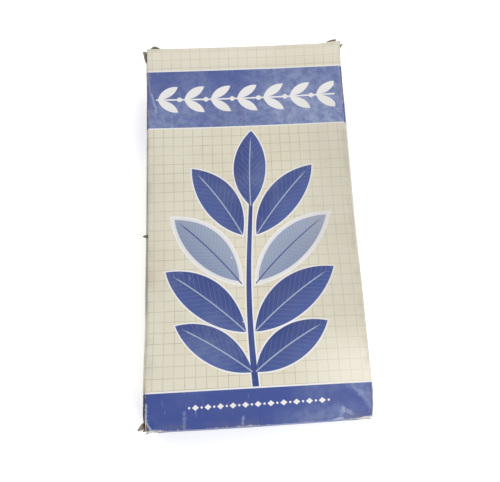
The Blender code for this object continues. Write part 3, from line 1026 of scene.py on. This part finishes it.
def flake():
    """A flake of board that stands off the left crease."""
    along = np.linspace(-1, 1, 13)
    share = np.linspace(0, 1, 4)
    reach = FLAKE["reach"] * np.clip(1 - np.abs(along - 0.25 * (1 - along**2)) ** 1.4, 0.03, 1)
    out = reach[:, None] * share
    v = np.repeat(FLAKE["v"] + along[:, None] * FLAKE["run"] / 2, len(share), axis=1)
    s = np.full_like(v, FRONT_LEFT - 0.5 * MM)
    points = fold_walls(s, v) + np.stack((-out, np.zeros_like(out), -0.12 * out), axis=-1)
    return board("flake", points, s - out, v, (0, 0, 1))


def ear_tops(end, x):
    """Where along the end's path the ears' upper edges are, at x."""
    outer, middle, inner = np.where(x[:, None] > 0, EARS[end, 1], EARS[end, -1]).T
    share = np.clip((EAR_OUTER - np.abs(x)) / (EAR_OUTER - EAR_INNER), 0, 1)
    rise = outer * (1 - share) * (1 - 2 * share) + middle * 4 * share * (1 - share)
    rise = rise + inner * share * (2 * share - 1)
    return CREASE_END + DEPTH * (1 + rise) - LID_AXIS.y


def end_blank(end, x, t):
    """Blank coordinates of a lid and its tuck at x and at length t along the end's path."""
    return MIDDLES[end] - x * SIGNS[end], SIGNS[end] * (HALF_LENGTH + t)


def lid(end):
    """A lid with the strip of its panel beside the crease, and the ears beside the tuck's slits."""
    across = spaced(-LID_SIDE, LID_SIDE, 0.6 * MM, 4 * MM, 14 * MM)
    marks = (LID_CREASE_SIDE, EAR_OUTER, EAR_INNER, TUCK_NECK)
    across = np.unique(np.concatenate((across, marks, [-mark for mark in marks])))
    ear_shares = np.linspace(0, 1, 8)
    t = np.concatenate((
        np.linspace(-LID_STRIP, 0, 5),
        np.linspace(CREASE_START, CREASE_END, 7),
        spaced(CREASE_END, TUCK_SEAM, 0.9 * MM, 3 * MM, CRUSHED_RUN)[1:],
        TUCK_SEAM + ear_shares[1:] * MM,
    ))
    x_grid, t_grid = np.meshgrid(across, t)
    ears = len(t) - len(ear_shares)
    tops = ear_tops(end, across) + ragged(across, 0.15 * MM, 11)
    t_grid[ears:] = TUCK_SEAM + ear_shares[:, None] * (tops - TUCK_SEAM)
    x_mid, t_mid = np.abs(cell_middles(x_grid)), cell_middles(t_grid)
    keep = (t_mid < TUCK_SEAM) | ((x_mid > EAR_INNER) & (x_mid < EAR_OUTER))
    keep &= (t_mid > CREASE_END) | (x_mid < LID_CREASE_SIDE)
    s, v = end_blank(end, x_grid, t_grid)
    points = fold_end(end, s, v, straight=True)
    points[ears:, :, 1] += SIGNS[end] * EAR_CURL * ear_shares[:, None] ** 2
    return board(f"{end}_lid_board", points, s, v, (0, SIGNS[end], 0), keep)


def tuck(end):
    """A tuck flap with the strip of its lid below the crease. Its corners are rounded."""
    shoulder = TUCK_CREASE_END + BOARD + CREASE_GAP
    t = np.concatenate((
        np.linspace(TUCK_SEAM, TUCK_CREASE_START, 3),
        np.linspace(TUCK_CREASE_START, TUCK_CREASE_END, 10)[1:],
        (shoulder - CREASE_GAP, shoulder),
        np.linspace(shoulder, TUCK_END - TUCK_ROUNDING, 4)[1:],
        TUCK_END - TUCK_ROUNDING * (1 - np.sin(np.linspace(0, math.pi / 2, 10)))[1:],
    ))
    rounding = np.clip((t - TUCK_END + TUCK_ROUNDING) / TUCK_ROUNDING, 0, 1)
    half = np.where(t < shoulder - CREASE_GAP / 2, TUCK_NECK, TUCK_SIDE)
    half = half - TUCK_ROUNDING * (1 - np.sqrt(1 - rounding**2))
    share = spaced(-1.0, 1.0, 0.02, 0.05, 0.16)
    s, v = end_blank(end, half[:, None] * share, np.repeat(t[:, None], len(share), axis=1))
    return board(f"{end}_tuck_board", fold_end(end, s, v), s, v, (0, 0, SIGNS[end]))


DUST_LENGTH = 45 * MM
DUST_ROOT_MARGIN = 2.4 * MM
DUST_NOTCH = 9 * MM
DUST_TAPER = 3.5 * MM
DUST_SHOULDER = 7 * MM
DUST_ROUNDING = 3 * MM
DUST_SAG = 0.12 * MM


def dust_flap(end, side):
    """A dust flap: creased to a side wall, tapered to its tip and notched beside the tuck."""
    sign = SIGNS[end]
    hinge = HINGES[f"{end}_dust_{SIDES[side]}_hinge"]
    dent = float(corner_dent(side * HALF_WIDTH, sign * HALF_LENGTH))
    low_margin, high_margin = (0, dent) if end == "top" else (dent, 0)
    t = spaced(0, DUST_LENGTH, 0.7 * MM, 3 * MM, 8 * MM)
    low = DUST_ROOT_MARGIN + low_margin + DUST_TAPER * t / DUST_LENGTH
    root_top = DEPTH - BOARD - CREASE_GAP - DUST_ROOT_MARGIN - high_margin
    notch = eased((t - DUST_SHOULDER + DUST_ROOT_MARGIN) / DUST_ROOT_MARGIN)
    high = root_top + (DEPTH - DUST_NOTCH - root_top) * notch - DUST_TAPER * notch * t / DUST_LENGTH
    near_tip = np.clip((t - DUST_LENGTH + DUST_ROUNDING) / DUST_ROUNDING, 0, 1)
    rounding = DUST_ROUNDING * (1 - np.sqrt(1 - near_tip**2))
    low, high = low + rounding, high - rounding
    share = np.linspace(0, 1, 19)
    z = low[:, None] + (high - low)[:, None] * share
    z = z if end == "top" else DEPTH - z
    t = np.repeat(t[:, None], len(share), axis=1)
    y = hinge.y + sign * BOARD / 2 - sign * DUST_SAG * np.sin(t / DUST_LENGTH * math.pi)
    points = np.stack((hinge.x - side * t, y, z), -1)
    s = z if side < 0 else BACK_RIGHT - z
    v = sign * (HALF_LENGTH + t)
    return board(f"{end}_dust_{SIDES[side]}_board", points, s, v, (0, sign, 0))


# The carton

top_notch = (1, BACK_MIDDLE - LID_CREASE_SIDE, BACK_MIDDLE + LID_CREASE_SIDE)
bottom_notch = (-1, FRONT_MIDDLE - LID_CREASE_SIDE, FRONT_MIDDLE + LID_CREASE_SIDE)
walls = (
    wall("front_wall", FRONT_LEFT - SEAM_INSET, FRONT_RIGHT + SEAM_INSET, (0, 0, 1), (bottom_notch,)),
    wall("right_wall", FRONT_RIGHT + SEAM_INSET, BACK_RIGHT - SEAM_INSET, (1, 0, 0)),
    wall("back_wall", BACK_RIGHT - SEAM_INSET, ROUND + SEAM_INSET, (0, 0, -1), (top_notch,)),
    wall("left_wall", SEAM_INSET, FRONT_LEFT - SEAM_INSET, (-1, 0, 0)),
)
strips = [torn_strip(tear, 20 + number) for number, tear in enumerate(TEARS)]
for piece in (*walls, *strips, flake()):
    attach(piece, "sleeve")
    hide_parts("sleeve")

glue_flap = frame["nodes"]["glue_flap"].data.materials
glue_flap.clear()
glue_flap.append(grey_back("glued_strip", flat=False))

for end, sign in SIGNS.items():
    piece = lid(end)
    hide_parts(f"{end}_lid")
    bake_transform(piece)
    piece = tuck(end)
    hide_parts(f"{end}_tuck")
    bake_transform(piece)
    for side, word in SIDES.items():
        piece = dust_flap(end, side)
        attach(piece, f"{end}_dust_{word}")
        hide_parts(f"{end}_dust_{word}")


# Floor, lights and camera

FLOOR_SIZE = 6.0
FLOOR_DROP = 0.1 * MM
# The glow lifts the shadow on the floor, which the photograph's exposure washes out
FLOOR_LOOK = {
    "Base Color": (0.97, 0.97, 0.97, 1),
    "Roughness": 0.9,
    "Emission Color": (1, 1, 1, 1),
    "Emission Strength": 0.20,
}
# Square soft lights: place and what they face in metres, side in metres, power in watts
LIGHTS = rows_of(
    "name place aim side power",
    ("window", (0.05, 0.62, 1.30), (0, 0.12, 0), 1.0, 5.0),
    ("lamp", (0.32, -0.42, 0.50), (0.06, -0.12, 0), 0.4, 1.6),
    ("room", (0.0, -0.30, 1.60), (0, 0, 0), 1.6, 4.5),
)
WORLD_STRENGTH = 0.66
CAMERA_PLACE = Vector((-4.8, -159.7, 474.4)) * MM + Vector((0, 0, DEPTH))
CAMERA_TURN = (16.48, 0.21, -2.25)
CAMERA_LENS = 46
CAMERA_SENSOR = 36
CAMERA_NEAR = 0.01


def placed(name, data, place, turn=(0, 0, 0)):
    """An object of the scene at a place, turned about X, Y and Z."""
    made = bpy.data.objects.new(name, data)
    made.matrix_world = Matrix.LocRotScale(Vector(place), Euler(turn), None)
    bpy.context.scene.collection.objects.link(made)
    return made


floor_white = bpy.data.materials.new("floor_white")
floor_white.use_nodes = True
for name, value in FLOOR_LOOK.items():
    floor_white.node_tree.nodes["Principled BSDF"].inputs[name].default_value = value

mesh = bmesh.new()
bmesh.ops.create_grid(mesh, x_segments=1, y_segments=1, size=FLOOR_SIZE / 2)
data = bpy.data.meshes.new("floor")
mesh.to_mesh(data)
mesh.free()
data.materials.append(floor_white)
floor = placed("floor", data, (0, 0, -FLOOR_DROP))

for row in LIGHTS:
    light = bpy.data.lights.new(row["name"], "AREA")
    light.shape = "SQUARE"
    light.size = row["side"]
    light.energy = row["power"]
    facing = (Vector(row["aim"]) - Vector(row["place"])).to_track_quat("-Z", "Y").to_euler()
    placed(row["name"], light, row["place"], facing)

world = bpy.data.worlds.new("studio")
world.use_nodes = True
world.node_tree.nodes["Background"].inputs["Color"].default_value = (1, 1, 1, 1)
world.node_tree.nodes["Background"].inputs["Strength"].default_value = WORLD_STRENGTH
bpy.context.scene.world = world
bpy.context.scene.view_settings.view_transform = "Standard"

lens = bpy.data.cameras.new("camera")
lens.lens = CAMERA_LENS
lens.sensor_width = CAMERA_SENSOR
lens.clip_start = CAMERA_NEAR
turn = [math.radians(angle) for angle in CAMERA_TURN]
bpy.context.scene.camera = placed("camera", lens, CAMERA_PLACE, turn)
